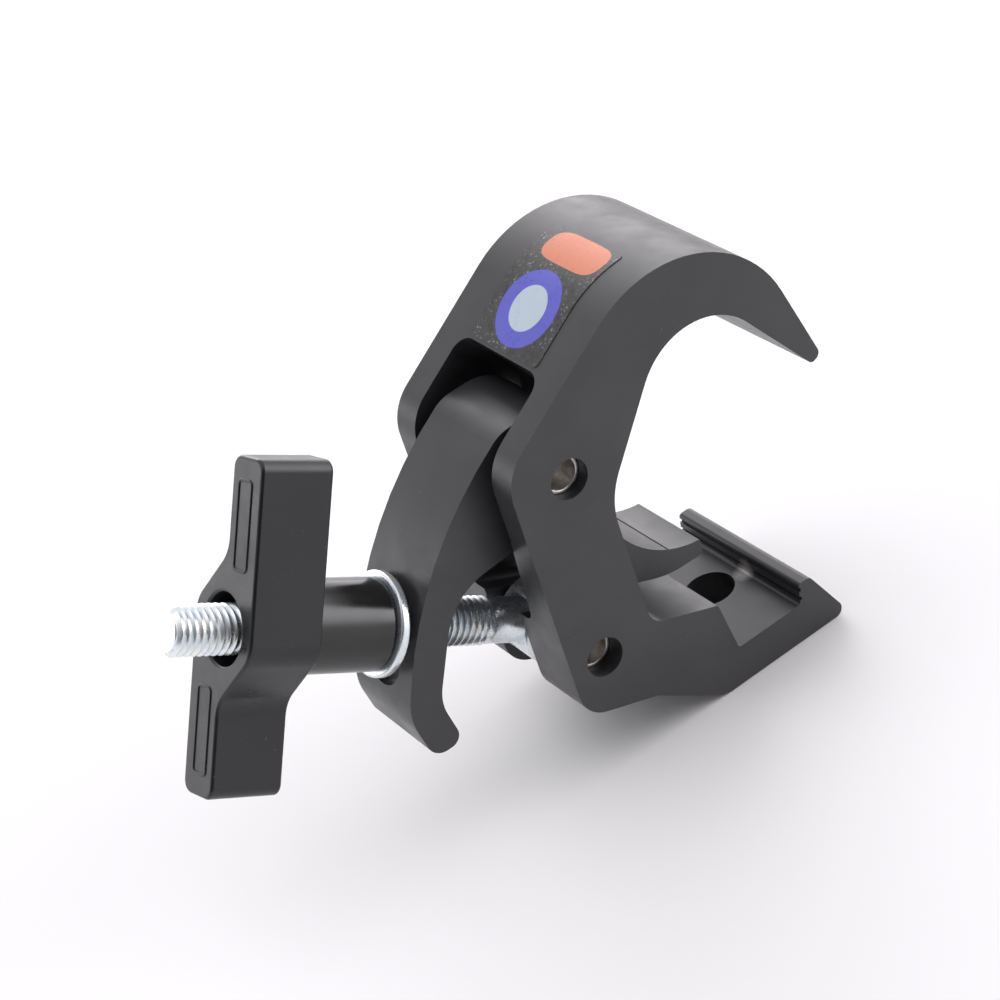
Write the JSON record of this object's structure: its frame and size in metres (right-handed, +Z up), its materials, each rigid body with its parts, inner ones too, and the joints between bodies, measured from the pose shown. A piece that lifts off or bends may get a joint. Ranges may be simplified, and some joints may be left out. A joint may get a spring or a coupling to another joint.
{
  "type": "pipe clamp",
  "caption": "Hook clamp for a round bar: extruded hook with T-slot base, pivoting arm, swing eye bolt and wing nut.",
  "frame": {"origin": "on the axis of the bar that the clamp holds, at the middle of the clamp's width", "axes": "+Y along the bar, +Z up from the T-slot base to the top of the hook, +X out of the hook's mouth, so the wing nut is at -X"},
  "size_m": [0.1752, 0.049, 0.116],
  "materials": {
    "black_body": "satin black coat on extruded aluminium",
    "black_arm": "satin black coat on extruded aluminium",
    "pin_steel": "plain spring steel",
    "spacer_plastic": "black plastic",
    "zinc_steel": "bright zinc plate",
    "black_steel": "glossy black coat on steel",
    "black_wing": "satin black coat on a casting",
    "label_film": "clear film with a plain orange bar and a blue disc"
  },
  "bodies": {
    "hook": {"hook_body": "black_body", "arm_pivot_pin": "pin_steel", "eye_bolt_pin": "pin_steel", "arm_spacer_near": "spacer_plastic", "arm_spacer_far": "spacer_plastic", "label": "label_film"},
    "arm": {"clamp_arm": "black_arm"},
    "bolt": {"eye_bolt": "zinc_steel"},
    "washer": {"plain_washer": "zinc_steel"},
    "nut": {"threaded_barrel": "black_steel", "wing_handle": "black_wing"}
  },
  "joints": [
    {"name": "arm_hinge", "type": "hinge", "parent": "hook", "child": "arm", "pos_m": [-0.0396, 0, 0.01185], "axis": [0, -1, 0], "range_deg": [-2, 13.5]},
    {"name": "bolt_swing", "type": "hinge", "parent": "hook", "child": "bolt", "pos_m": [-0.0459, 0, -0.0369], "axis": [0, -1, 0], "range_deg": [-2.4, 16.2]},
    {"name": "nut_travel", "type": "slide", "parent": "bolt", "child": "washer", "axis": [-0.8358, 0, 0.549], "range_m": [-0.01025, 0.00155]},
    {"name": "nut_spin", "type": "hinge", "parent": "washer", "child": "nut", "pos_m": [-0.09605, 0, -0.00396], "axis": [0.8358, 0, -0.549], "range_deg": [-308, 2100]}
  ],
  "couplings": [
    {"joint": "nut_travel", "follows": "nut_spin", "m_per_rad": -0.00027852},
    {"joint": "arm_hinge", "follows": "nut_spin", "ratio": 0.0064021},
    {"joint": "bolt_swing", "follows": "nut_spin", "ratio": 0.0076825}
  ]
}
